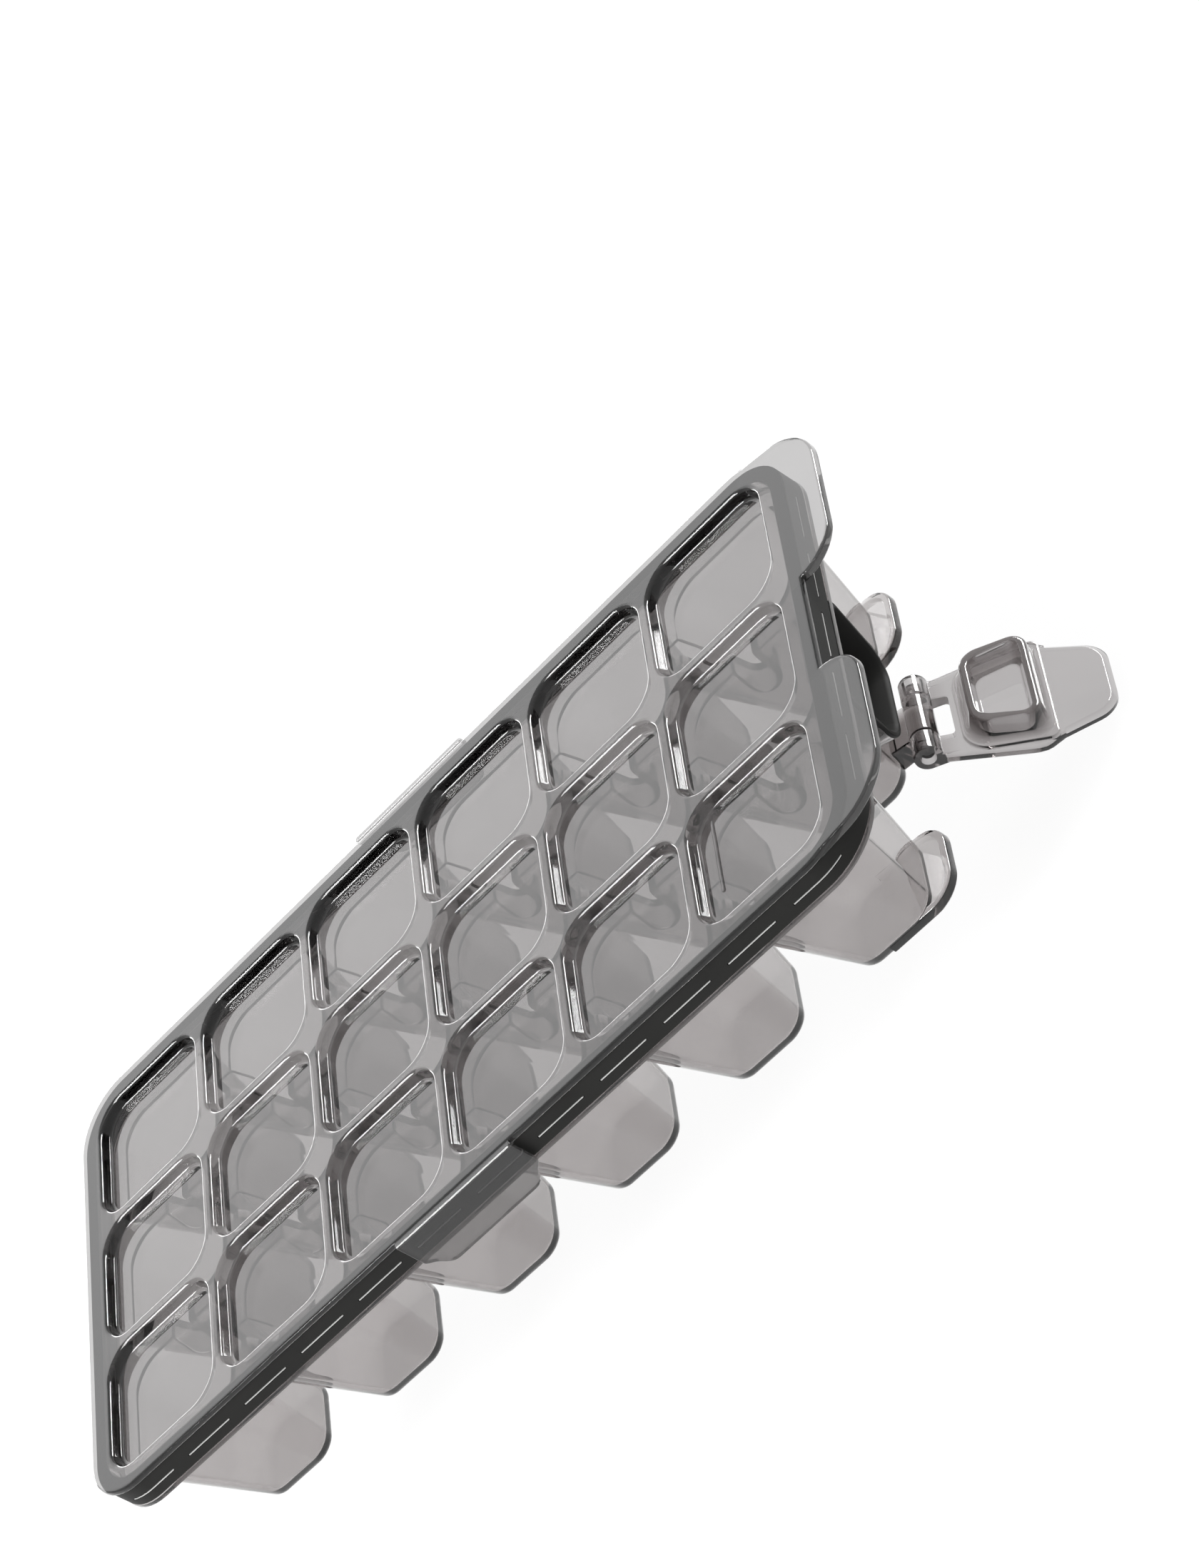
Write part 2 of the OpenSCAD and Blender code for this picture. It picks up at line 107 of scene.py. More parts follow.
def leave_edit():
    """Object mode, with nothing selected."""
    if bpy.context.mode != "OBJECT":
        bpy.ops.object.mode_set(mode="OBJECT")
    bpy.ops.object.select_all(action="DESELECT")


def only(obj):
    """Makes obj the one selected, active object."""
    leave_edit()
    obj.select_set(True)
    bpy.context.view_layer.objects.active = obj
    return obj


def settle(obj):
    """Puts an object's place and turn into its mesh."""
    only(obj)
    bpy.ops.object.transform_apply(location=True, rotation=True, scale=True)
    return obj


def moved(obj, x, y):
    """The object's mesh moved in plan, by millimetres."""
    obj.location = Vector((x, y, 0)) * MM
    return settle(obj)


def count_faces(label, obj):
    """Prints how many faces a piece has so far."""
    print(label, len(obj.data.polygons), "faces")


leave_edit()
print("selected", len(bpy.context.selected_objects))

# %% [markdown]
# Most of the mouldings are rounded blocks that taper, as a part must to leave its mould. One could
# be a cube with a bevel, but that rounds every edge alike. Here a plane's corners are rounded by a
# vertex bevel, and the outline is extruded level by level, with each level scaled to its own size.
# Small steps between levels make the fillets that catch the light.

# %% Rounded blocks


def flat_outline(name, half_x, half_y, z):
    """A plane of that half size, left in edit mode with everything selected."""
    leave_edit()
    bpy.ops.mesh.primitive_plane_add(size=2)
    obj = bpy.context.active_object
    obj.name = name
    bpy.ops.object.mode_set(mode="EDIT")
    bpy.ops.mesh.select_all(action="SELECT")
    bpy.ops.transform.resize(value=(half_x * MM, half_y * MM, 1), center_override=(0, 0, 0))
    bpy.ops.transform.translate(value=(0, 0, z * MM))
    return obj


def raise_levels(levels, middle=(0, 0)):
    """Extrudes the selected outline through the levels, each (z, half_x, half_y)."""
    for (z0, x0, y0), (z1, x1, y1) in zip(levels, levels[1:]):
        bpy.ops.mesh.extrude_region_move(TRANSFORM_OT_translate={"value": (0, 0, (z1 - z0) * MM)})
        if (x0, y0) != (x1, y1):
            about = (middle[0] * MM, middle[1] * MM, z1 * MM)
            bpy.ops.transform.resize(value=(x1 / x0, y1 / y0, 1), center_override=about)


def close_up():
    """Turns every face of the edited mesh outwards and goes back to object mode."""
    bpy.ops.mesh.select_all(action="SELECT")
    bpy.ops.mesh.normals_make_consistent(inside=False)
    bpy.ops.object.mode_set(mode="OBJECT")


def rounded_block(name, levels, corner, segments=7):
    """A closed block through the levels (z, half_x, half_y), with its corners rounded in plan."""
    z0, x0, y0 = levels[0]
    obj = flat_outline(name, x0, y0, z0)
    bpy.ops.mesh.bevel(offset=corner * MM, segments=segments, affect="VERTICES")
    bpy.ops.mesh.select_all(action="SELECT")
    raise_levels(levels)
    close_up()
    return obj


# %% [markdown]
# The blocks are welded and cut by boolean modifiers, which are applied at once. A moulding could
# also be drawn as one mesh with its holes in it, but blocks can be looked at one by one, and a cut
# leaves an even wall by itself. The manifold solver is chosen because it is fast on closed blocks.

# %% Welds and cuts


def boolean(target, tool, operation):
    """Applies one boolean step to the target and deletes the tool."""
    only(target)
    step = target.modifiers.new("step", "BOOLEAN")
    step.operation = operation
    step.solver = "MANIFOLD"
    step.object = tool
    bpy.ops.object.modifier_apply(modifier=step.name)
    bpy.data.objects.remove(tool)


def welded(target, *tools):
    """The target with the tools joined to it, one after the other."""
    for tool in tools:
        boolean(target, tool, "UNION")
    return target


def cut(target, *tools):
    """The target with the tools taken out of it, one after the other."""
    for tool in tools:
        boolean(target, tool, "DIFFERENCE")
    return target


# %% [markdown]
# ## Sizes
# Most numbers here and below repeat the part's own sizes, in millimetres, because the script reads
# only the frame. Each is kept in the cell that needs it first. They could be measured on the solids
# instead, but a named size is easier to read and to change. The cups lie 38 apart both ways, and the
# middle of their grid is at x = -19.

# %% Shared sizes
PITCH = 38.0
COLUMNS, ROWS = 6, 3
MID_X = -19.0
FIRST_X = MID_X - (COLUMNS - 1) / 2 * PITCH
FIRST_Y = -(ROWS - 1) / 2 * PITCH
LID_X, LID_Y, LID_CORNER = 119.3, 61.6, 14.5
LID_TOP = 39.0
print("first cup at", (FIRST_X, FIRST_Y), "lid", 2 * LID_X, "by", 2 * LID_Y)

# %% [markdown]
# ## The lid
# The real lid is one clear moulding: a plate with a thin edge flange that lies on the gasket, and
# a thicker block that drops inside the rim. A bevel modifier could round the plate, but its upper
# edge is rounder than its lower one, so each edge gets levels of its own.

# %% Lid plate
FLANGE_UNDER = 37.5
BLOCK_UNDER, BLOCK_INSET = 32.8, 4.3
RIM_SEGMENTS = 12


def rim_block(name, *steps):
    """A block over the lid's outline, through steps of (z, inset)."""
    levels = [(z, LID_X - inset, LID_Y - inset) for z, inset in steps]
    block = rounded_block(name, levels, LID_CORNER - steps[0][1], RIM_SEGMENTS)
    return moved(block, MID_X, 0)


lid = rim_block("lid_moulding", (FLANGE_UNDER, 0.45), (FLANGE_UNDER + 0.1, 0.15),
                (FLANGE_UNDER + 0.35, 0), (LID_TOP - 0.6, 0), (LID_TOP - 0.25, 0.12),
                (LID_TOP - 0.07, 0.4), (LID_TOP, 0.85))
welded(lid, rim_block("block", (BLOCK_UNDER, BLOCK_INSET + 0.6), (BLOCK_UNDER + 0.15, BLOCK_INSET + 0.2),
                      (BLOCK_UNDER + 0.5, BLOCK_INSET), (LID_TOP - 0.8, BLOCK_INSET)))
count_faces("lid plate", lid)

# %% [markdown]
# Some pieces have four corners with a radius each. Vertices could be kept by number, but the
# numbers change with every operator. Here a corner is found by where it is, as a hand would click
# it, then moved to its place and rounded by itself.

# %% Blocks over four corners
NEAR = 1e-3


def pick_corner(obj, x, y):
    """In edit mode, selects the vertices above and below one point of the plan."""
    bpy.ops.mesh.select_mode(type="VERT")
    bpy.ops.mesh.select_all(action="DESELECT")
    mesh = bmesh.from_edit_mesh(obj.data)
    for vertex in mesh.verts:
        near = abs(vertex.co.x / MM - x) < NEAR and abs(vertex.co.y / MM - y) < NEAR
        vertex.select_set(near)
    mesh.select_flush_mode()
    bmesh.update_edit_mesh(obj.data)


def corner_block(name, corners, radii, steps, segments=7):
    """A closed block over four corner points, each rounded by its own radius.

    The corners go round from low x and low y. A step is (z, inset), and the insets scale the
    outline about its middle.
    """
    obj = flat_outline(name, 1, 1, steps[0][0])
    for (sign_x, sign_y), (x, y) in zip(((-1, -1), (1, -1), (1, 1), (-1, 1)), corners):
        pick_corner(obj, sign_x, sign_y)
        bpy.ops.transform.translate(value=((x - sign_x) * MM, (y - sign_y) * MM, 0))
    for (x, y), radius in zip(corners, radii):
        if radius:
            pick_corner(obj, x, y)
            bpy.ops.mesh.bevel(offset=radius * MM, segments=segments, affect="VERTICES")
    bpy.ops.mesh.select_mode(type="FACE")
    bpy.ops.mesh.select_all(action="SELECT")
    middle = [sum(corner[k] for corner in corners) / 4 for k in (0, 1)]
    half = [sum(abs(corner[k] - middle[k]) for corner in corners) / 4 for k in (0, 1)]
    levels = [(z, half[0] - inset, half[1] - inset) for z, inset in steps]
    shrink = (levels[0][1] / half[0], levels[0][2] / half[1], 1)
    bpy.ops.transform.resize(value=shrink, center_override=(middle[0] * MM, middle[1] * MM, 0))
    raise_levels(levels, middle)
    close_up()
    return obj


# %% [markdown]
# ## The ears
# Two flat ears stick out of the lid at the spout end, to lift it by, with a gap between them for
# the flap. Both could be drawn, but a mirrored copy of one is sure to match. A negative scale turns
# a mesh inside out, so the copy's faces are turned outwards again.

# %% Ears
EAR_ROOT, EAR_END, EAR_UNDER = 88, 109.9, 37.0
HALF_GAP, EAR_SIDE, EAR_ROOT_SIDE = 14.2, 57.5, 61.0


def mirrored(obj, axis):
    """A copy on the other side of the origin, with its faces turned right side out."""
    twin = obj.copy()
    twin.data = obj.data.copy()
    scene.collection.objects.link(twin)
    twin.scale[axis] = -1
    settle(twin)
    bpy.ops.object.mode_set(mode="EDIT")
    close_up()
    return twin


ear = corner_block("ear", [(EAR_ROOT, HALF_GAP), (EAR_END, HALF_GAP), (EAR_END, EAR_SIDE),
                           (EAR_ROOT, EAR_ROOT_SIDE)],
                   radii=(0, 9.5, 12, 3), segments=10,
                   steps=[(EAR_UNDER, 0.5), (EAR_UNDER + 0.12, 0.2), (EAR_UNDER + 0.4, 0),
                          (LID_TOP - 0.55, 0), (LID_TOP - 0.2, 0.15), (LID_TOP - 0.05, 0.4), (LID_TOP, 0.8)])
welded(lid, mirrored(ear, 1), ear)
count_faces("lid with ears", lid)

# %% [markdown]
# ## The lift tabs
# A thin tab hangs from the middle of each long side, in front of the gasket, for a thumb to push
# up. A flat curve with a thickness would make it. Here it is a block whose levels run from its
# lower edge up, because its outline then swells out in an S-shaped curve of few points. A bridge
# joins it to the lid's flange.

# %% Lift tabs
TAB_Y, TAB_FOOT, TAB_HALF_THICK, TAB_HALF = 62.6, 26.5, 0.7, 18.0
BRIDGE_Y, BRIDGE_HALF, BRIDGE_REACH = 61.3, 17.9, 1.5
tab_curve = [(26.8, 13.3), (27.3, 14.2), (28.1, 14.9), (29.0, 15.5), (29.8, 16.3), (30.5, 17.3),
             (31.1, 17.9), (31.9, TAB_HALF), (LID_TOP - 0.3, TAB_HALF)]
tab = rounded_block("lift_tab", [(TAB_FOOT, 11.4, 0.45), (TAB_FOOT + 0.06, 12.2, 0.62),
                                 *[(z, half, TAB_HALF_THICK) for z, half in tab_curve],
                                 (LID_TOP - 0.05, 17.8, 0.5)], corner=0.3, segments=3)
moved(tab, MID_X, TAB_Y)
bridge = rounded_block("bridge", [(FLANGE_UNDER, BRIDGE_HALF, BRIDGE_REACH),
                                  (LID_TOP - 0.15, BRIDGE_HALF, BRIDGE_REACH)], corner=0.3, segments=2)
moved(bridge, MID_X, BRIDGE_Y)
for part in (tab, bridge):
    welded(lid, mirrored(part, 1), part)
count_faces("lid with tabs", lid)

# %% [markdown]
# ## The windows
# A window is pressed down over each cup, which leaves a net of ribs that stiffens the lid. The
# plate's own faces could be inset and pushed down, but their flared rims would then meet in untidy
# corners. Here one tool with a filleted floor and a flared top is copied by two arrays, so cutting
# it rounds all the ribs alike. A low moulded line crosses the floor of the end window on the near
# side.

# %% Windows
WINDOW_FLOOR, WINDOW_CORNER = 36.2, 7.2
LINE_X, LINE_Y, LINE_HALF, LINE_HALF_WIDTH = 63.7, -34.6, 10.6, 0.42


def repeated(obj, counts, steps):
    """Copies in rows and columns, by two arrays."""
    only(obj)
    for axis in (0, 1):
        if counts[axis] > 1:
            array = obj.modifiers.new("row", "ARRAY")
            array.count = counts[axis]
            array.use_relative_offset = False
            array.use_constant_offset = True
            array.constant_offset_displace = [steps[axis] * MM * (k == axis) for k in range(3)]
            bpy.ops.object.modifier_apply(modifier=array.name)
    return obj


def cup_grid(name, corner, *steps):
    """A square block through steps of (z, half width), copied over all the cups."""
    block = rounded_block(name, [(z, half, half) for z, half in steps], corner, segments=9)
    moved(block, FIRST_X, FIRST_Y)
    return repeated(block, (COLUMNS, ROWS), (PITCH, PITCH))


cut(lid, cup_grid("window", WINDOW_CORNER, (WINDOW_FLOOR, 16.1), (WINDOW_FLOOR + 0.06, 16.5),
                  (WINDOW_FLOOR + 0.22, 16.8), (WINDOW_FLOOR + 0.5, 17.0), (LID_TOP - 0.9, 17.32),
                  (LID_TOP - 0.5, 17.45), (LID_TOP - 0.2, 17.66), (LID_TOP - 0.04, 17.98),
                  (LID_TOP, 18.25), (LID_TOP + 0.6, 18.3)))
line = rounded_block("line", [(WINDOW_FLOOR - 0.3, LINE_HALF_WIDTH, LINE_HALF),
                              (WINDOW_FLOOR + 0.15, LINE_HALF_WIDTH, LINE_HALF),
                              (WINDOW_FLOOR + 0.3, 0.2, LINE_HALF - 0.2)], corner=0.38, segments=4)
welded(lid, moved(line, LINE_X, LINE_Y))
count_faces("lid", lid)

# %% [markdown]
# ## The gasket
# A band of matte silicone closes the gap between tray and lid. It stands round the tray's upright
# rim, with a lip that lies on top of it, and narrow slots let the tray's keeper ribs show as light
# dashes. A profile could be swept along a curve, but the slots would still have to be cut. Here
# blocks over the lid's outline are cut from each other. One bar for the long sides and one for the
# ends are copied by arrays, once as tools for the slots and once, slimmer, as the ribs.

# %% Bars round the rim
SLOT_Z, SLOT_STEP = 34.0, PITCH / 2
SIDE_SLOTS, END_SLOTS = 12, 5
BAR_CORNER, BAR_SEGMENTS = 0.2, 2


def joined(*objs):
    """Several loose pieces as one object."""
    leave_edit()
    for obj in objs:
        obj.select_set(True)
    bpy.context.view_layer.objects.active = objs[0]
    bpy.ops.object.join()
    return objs[0]


def rim_bars(name, half_length, depth, inset, half_height):
    """A bar at every slot of the rim, set in from the lid's edge."""
    low, high = SLOT_Z - half_height, SLOT_Z + half_height
    half = depth / 2
    levels = [(low, half_length, half), (high, half_length, half)]
    along = rounded_block(name, levels, BAR_CORNER, BAR_SEGMENTS)
    moved(along, MID_X - (SIDE_SLOTS - 1) / 2 * SLOT_STEP, -LID_Y + inset + half)
    repeated(along, (SIDE_SLOTS, 2), (SLOT_STEP, 2 * (LID_Y - inset - half)))
    levels = [(low, half, half_length), (high, half, half_length)]
    across = rounded_block(name, levels, BAR_CORNER, BAR_SEGMENTS)
    moved(across, MID_X - LID_X + inset + half, -(END_SLOTS - 1) / 2 * SLOT_STEP)
    repeated(across, (2, END_SLOTS), (2 * (LID_X - inset - half), SLOT_STEP))
    return joined(along, across)


print("slots", 2 * (SIDE_SLOTS + END_SLOTS))

# %% [markdown]
# The slots reach right through the band's wall, and the ribs end level with its outer face. A rib
# could be bent round the corners, but a straight one is enough: a block over the same outline cuts
# it off where a corner turns, so that none sticks out of the band.

# %% Rim gasket and keeper ribs
GASKET_LOW, GASKET_TOP, GASKET_INSET = 31.3, 37.5, 0.4
RIM_INSIDE, WALL_INSIDE, LIP_UNDER = 3.9, 2.55, 35.95
RIB_INSET = 0.38
BELOW_RIM, ABOVE_RIM = 30, 39
gasket = rim_block("rim_gasket", (GASKET_LOW, 0.6), (GASKET_LOW + 0.15, 0.42),
                   (GASKET_LOW + 0.4, GASKET_INSET), (GASKET_TOP - 0.4, GASKET_INSET),
                   (GASKET_TOP - 0.15, 0.45), (GASKET_TOP, 0.65))
cut(gasket, rim_block("inside", (BELOW_RIM, RIM_INSIDE), (ABOVE_RIM, RIM_INSIDE)))
cut(gasket, rim_block("under_lip", (BELOW_RIM, WALL_INSIDE), (LIP_UNDER, WALL_INSIDE)))
cut(gasket, rim_bars("slots", half_length=7.0, depth=4.0, inset=-0.8, half_height=0.28))
ribs = rim_bars("keeper_ribs", half_length=6.85, depth=2.2, inset=RIB_INSET, half_height=0.12)
boolean(ribs, rim_block("limit", (BELOW_RIM, RIB_INSET), (ABOVE_RIM, RIB_INSET)), "INTERSECT")
count_faces("gasket", gasket)
count_faces("ribs", ribs)

# %% [markdown]
# ## The tray
# The tray is one clear moulding, and its cups taper so that it leaves the mould and the ice leaves
# the cup. Solidify could give the cups their wall, but it goes wrong where walls meet. Here outer
# cups, deck and rim are welded first and the inner cups are cut out at the end, which leaves an
# even wall as the two halves of a mould do.

# %% Cups, deck and upstand
DRAFT = math.tan(math.radians(13.1))
OUTER_FOOT, OUTER_CORNER = 10.295, 4.4
CUP_FLOOR, INNER_FOOT, INNER_CORNER = 2.8, 9.547, 3.6
DECK_LOW, DECK_TOP, IN_DECK = 30.1, 31.3, 30.4
UPSTAND_INSET, UPSTAND_TOP = 2.6, 35.9


def cup_outer(z):
    """Half the outer width of a cup at a height."""
    return OUTER_FOOT + z * DRAFT


def cup_inner(z):
    """Half the inner width of a cup at a height."""
    return INNER_FOOT + (z - CUP_FLOOR) * DRAFT


tray = rim_block("tray_moulding", (DECK_LOW, 0.55), (DECK_LOW + 0.1, 0.35), (DECK_LOW + 0.3, 0.3),
                 (DECK_TOP - 0.3, 0.3), (DECK_TOP - 0.1, 0.35), (DECK_TOP, 0.55))
welded(tray, cup_grid("outer", OUTER_CORNER, (0, 9.25), (0.1, 9.75), (0.4, 10.15), (0.85, 10.42),
                      (1.4, cup_outer(1.4)), (IN_DECK, cup_outer(IN_DECK))))
upstand = rim_block("upstand", (DECK_TOP - 0.3, UPSTAND_INSET), (UPSTAND_TOP - 0.3, UPSTAND_INSET),
                    (UPSTAND_TOP - 0.1, UPSTAND_INSET + 0.1), (UPSTAND_TOP, UPSTAND_INSET + 0.35))
cut(upstand, rim_block("upstand_inside", (BELOW_RIM, RIM_INSIDE), (ABOVE_RIM, RIM_INSIDE)))
welded(tray, upstand)
count_faces("cups and deck", tray)

# %% [markdown]
# Shallow channels under the deck join neighbouring cups, so that water poured in at the spout fills
# them all. A round bar would do as a tool, but a channel is open above. Here a block with a round
# bottom is drawn standing up and laid on its side by a matrix, once along the rows and once along
# the columns.

# %% Channels
CHANNEL_REACH = 6.36
NEARLY_ROUND = 0.98
ALONG_X = Matrix(((0, 0, 1, 0), (1, 0, 0, 0), (0, 1, 0, 0), (0, 0, 0, 1)))
ALONG_Y = Matrix.Rotation(math.radians(90), 4, "X")


def placed(obj, matrix):
    """The object's mesh moved by a matrix in metres."""
    obj.matrix_world = matrix
    bpy.context.view_layer.update()
    return settle(obj)


def channels(name, width, low, high):
    """Blocks across every wall between two cups, along X and along Y."""
    half = width / 2
    bottom = half * NEARLY_ROUND
    rows = (ALONG_X, FIRST_X + PITCH / 2, FIRST_Y, (COLUMNS - 1, ROWS))
    columns = (ALONG_Y, FIRST_X, FIRST_Y + PITCH / 2, (COLUMNS, ROWS - 1))
    found = []
    for lay, x, y, counts in (rows, columns):
        block = corner_block(name, [(-half, low), (half, low), (half, high), (-half, high)],
                             radii=(bottom, bottom, 0, 0), segments=8,
                             steps=[(-CHANNEL_REACH, 0), (CHANNEL_REACH, 0)])
        placed(block, Matrix.Translation((x * MM, y * MM, 0)) @ lay)
        found.append(repeated(block, counts, (PITCH, PITCH)))
    return found


welded(tray, *channels("trough", width=8.1, low=22.0, high=30.7))
count_faces("tray with troughs", tray)

# %% [markdown]
# Two dished feet stick out at the bottom of the outer end cups, one on each side of the flap. A
# foot could be pulled out of its cup's own faces. It is made by itself and welded on, because its
# outline and its dish then keep their round corners.

# %% Feet
FOOT_ROOT, FOOT_END, FOOT_HALF, FOOT_TOP = 74, 93.1, 10.9, 2.4
DISH_ROOT, DISH_END, DISH_HALF, DISH_LOW = 60, 91.6, 9.4, 1.5
foot = corner_block("foot", [(FOOT_ROOT, -FOOT_HALF), (FOOT_END, -FOOT_HALF), (FOOT_END, FOOT_HALF),
                             (FOOT_ROOT, FOOT_HALF)], radii=(0, 7, 7, 0), segments=9,
                    steps=[(0, 0.6), (0.12, 0.25), (0.45, 0), (FOOT_TOP - 0.5, 0),
                           (FOOT_TOP - 0.15, 0.2), (FOOT_TOP, 0.55)])
cut(foot, corner_block("dish", [(DISH_ROOT, -DISH_HALF), (DISH_END, -DISH_HALF), (DISH_END, DISH_HALF),
                                (DISH_ROOT, DISH_HALF)], radii=(0, 5.5, 5.5, 0), segments=9,
                       steps=[(DISH_LOW, 0.7), (DISH_LOW + 0.15, 0.3), (DISH_LOW + 0.5, 0.05),
                              (DISH_LOW + 2, 0)]))
moved(foot, 0, PITCH)
welded(tray, mirrored(foot, 1), foot)
count_faces("tray with feet", tray)

# %% [markdown]
# ## The hinge's fixed half
# The middle end cup carries the hinge: an arm, a knuckle, and a pin that sticks out on both sides
# of it. Each could be turned to the flap's angle by itself. Here only the arm is drawn from the
# tray's side. The rest, and later the flap, are drawn in a frame of their own, with X along the
# axis, Y from the hinge along the flap and Z to the flap's inner side, because one matrix then
# stands all of them up alike.

# %% Hinge bracket
HINGE_X, HINGE_Z = 94.6, 3.2
HINGE = Vector((HINGE_X, 0, HINGE_Z))
CLOSED_TURN, OPEN_TURN = 12.0, 124.8
ARM_HALF, PIN_HALF = 5.5, 10.1
KNUCKLE_RADIUS, PIN_RADIUS = 3.1, 1.55
SHARP = (0, 0, 0, 0)


def hinge_frame(degrees):
    """The hinge's own frame, swung round its axis."""
    swing = Matrix.Rotation(math.radians(degrees), 4, "Y")
    lay = Matrix.Rotation(math.radians(-90), 4, "Z") @ ALONG_Y
    return Matrix.Translation(HINGE * MM) @ swing @ lay


def rod(name, levels, sides=40):
    """A round bar along X through the levels (x, radius)."""
    leave_edit()
    bpy.ops.mesh.primitive_circle_add(vertices=sides, radius=levels[0][1] * MM, fill_type="NGON")
    obj = bpy.context.active_object
    obj.name = name
    bpy.ops.object.mode_set(mode="EDIT")
    bpy.ops.mesh.select_all(action="SELECT")
    bpy.ops.transform.translate(value=(0, 0, levels[0][0] * MM))
    raise_levels([(x, radius, radius) for x, radius in levels])
    close_up()
    return placed(obj, Matrix.Rotation(math.radians(90), 4, "Y"))


def eased_rod(name, low, high, radius):
    """A rod with rounded ends, for a knuckle."""
    return rod(name, [(low, radius - 0.4), (low + 0.15, radius - 0.1), (low + 0.4, radius),
                      (high - 0.4, radius), (high - 0.15, radius - 0.1), (high, radius - 0.4)])


CLOSED = hinge_frame(CLOSED_TURN)
arm = corner_block("arm", [(84.9, 0.8), (HINGE_X, 0.1), (HINGE_X, 4.75), (86.3, 6.3)], radii=SHARP,
                   steps=[(-ARM_HALF, 0.3), (-ARM_HALF + 0.2, 0), (ARM_HALF - 0.2, 0), (ARM_HALF, 0.3)])
placed(arm, ALONG_Y)
knuckle = placed(eased_rod("knuckle", -ARM_HALF, ARM_HALF, KNUCKLE_RADIUS), CLOSED)
pin = rod("pin", [(-PIN_HALF, PIN_RADIUS - 0.3), (-PIN_HALF + 0.3, PIN_RADIUS),
                  (PIN_HALF - 0.3, PIN_RADIUS), (PIN_HALF, PIN_RADIUS - 0.3)], sides=28)
placed(pin, CLOSED)
for part in (arm, knuckle, pin):
    count_faces(part.name, part)

# %% [markdown]
# The spout's collar frames the opening in the end cup's wall, wider above than below, and holds
# the seal. A scaled copy of one outline could serve for every ring in it, but the rims would then
# be uneven, so one tool makes a block over that outline at any inset. The collar runs up into the
# deck, and what would stand above that is cut away.

# %% Spout collar
SPOUT_LOW, SPOUT_HIGH = (13.2, 7.2), (15.8, 27.167)
SPOUT_LOW_RADIUS = 6
ROOM_X, ROOM_HALF_X, ROOM_HALF_Y, ROOM_TOP = 95, 40, 30, 45


def spout_block(name, *steps, high_r=2.2, least_r=1.2):
    """A block over the spout's outline in the hinge's frame, through steps of (z, inset)."""
    (low_w, low), (high_w, high) = SPOUT_LOW, SPOUT_HIGH
    first = steps[0][1]
    low_w, high_w, low, high = low_w - first, high_w - first, low + first, high - first
    low_r = max(SPOUT_LOW_RADIUS - first, least_r)
    rest = [(z, inset - first) for z, inset in steps]
    return corner_block(name, [(-low_w, low), (low_w, low), (high_w, high), (-high_w, high)],
                        radii=(low_r, low_r, high_r, high_r), steps=rest, segments=8)


collar = placed(spout_block("collar", (1.95, 0), (8.35, 0)), CLOSED)
above = rounded_block("above", [(IN_DECK, ROOM_HALF_X, ROOM_HALF_Y), (ROOM_TOP, ROOM_HALF_X, ROOM_HALF_Y)],
                      corner=1, segments=1)
cut(collar, moved(above, ROOM_X, 0))
welded(tray, arm, knuckle, pin, collar)
count_faces("tray with hinge and collar", tray)

# %% [markdown]
# Last come the cuts: the cups' insides, the water ways between them, the pocket for the spout's
# seal and the fill port behind it. Each block could have been cut before it was welded, but cutting
# after every weld keeps the insides clear of what was welded on from outside.

# %% Insides
PORT_HALF, PORT_LOW, PORT_HIGH, PORT_CORNER = 7.5, 14.5, 22, 1.2
PORT_FRONT, PORT_BACK = 0.5, 16


def port():
    """The fill port's tool, through the seal and the end cup's wall."""
    block = corner_block("port", [(-PORT_HALF, PORT_LOW), (PORT_HALF, PORT_LOW), (PORT_HALF, PORT_HIGH),
                                  (-PORT_HALF, PORT_HIGH)], radii=(PORT_CORNER,) * 4,
                         steps=[(PORT_FRONT, 0), (PORT_BACK, 0)])
    return placed(block, CLOSED)


cut(tray, cup_grid("inner", INNER_CORNER, (1.4, 8.2), (1.5, 8.75), (1.85, 9.15), (2.3, 9.4),
                   (CUP_FLOOR, INNER_FOOT), (IN_DECK, cup_inner(IN_DECK)), (DECK_TOP - 0.4, 16.3),
                   (DECK_TOP - 0.1, 16.55), (DECK_TOP + 0.02, 16.95), (DECK_TOP + 0.3, 16.95)))
cut(tray, *channels("water_way", width=5.5, low=23.3, high=32.5))
cut(tray, placed(spout_block("pocket", (0.1, 1.0), (7.35, 1.0)), CLOSED), port())
count_faces("tray", tray)

# %% [markdown]
# ## The spout gasket
# A seat of dark silicone fills the collar. Its flared mouth takes the flap's plug, and the port
# behind it leads into the end cup. It could be lofted as one ring. Here a thin face and a wall are
# welded and a flared hollow is cut from them, because all three then follow the spout's outline.

# %% Spout gasket
seat = spout_block("spout_gasket", (1.1, 0.25), (1.2, 0.08), (1.4, 0), (1.9, 0))
welded(seat, spout_block("seat_wall", (1.5, 1.05), (7.3, 1.05)))
cut(seat, spout_block("seat_hollow", (0.6, 0.6), (1.1, 0.9), (1.9, 1.65), (6.1, 2.5), (6.3, 2.8)))
cut(placed(seat, CLOSED), port())
count_faces("seat", seat)

# %% [markdown]
# ## The flap
# The flap is the small clear door of the spout. Its plate could be a flat outline raised by its
# thickness, but then its sides would be sharp. Here the block's levels run from the hinge along
# the plate, so each level is a width, and the cross-section has round edges all the way.

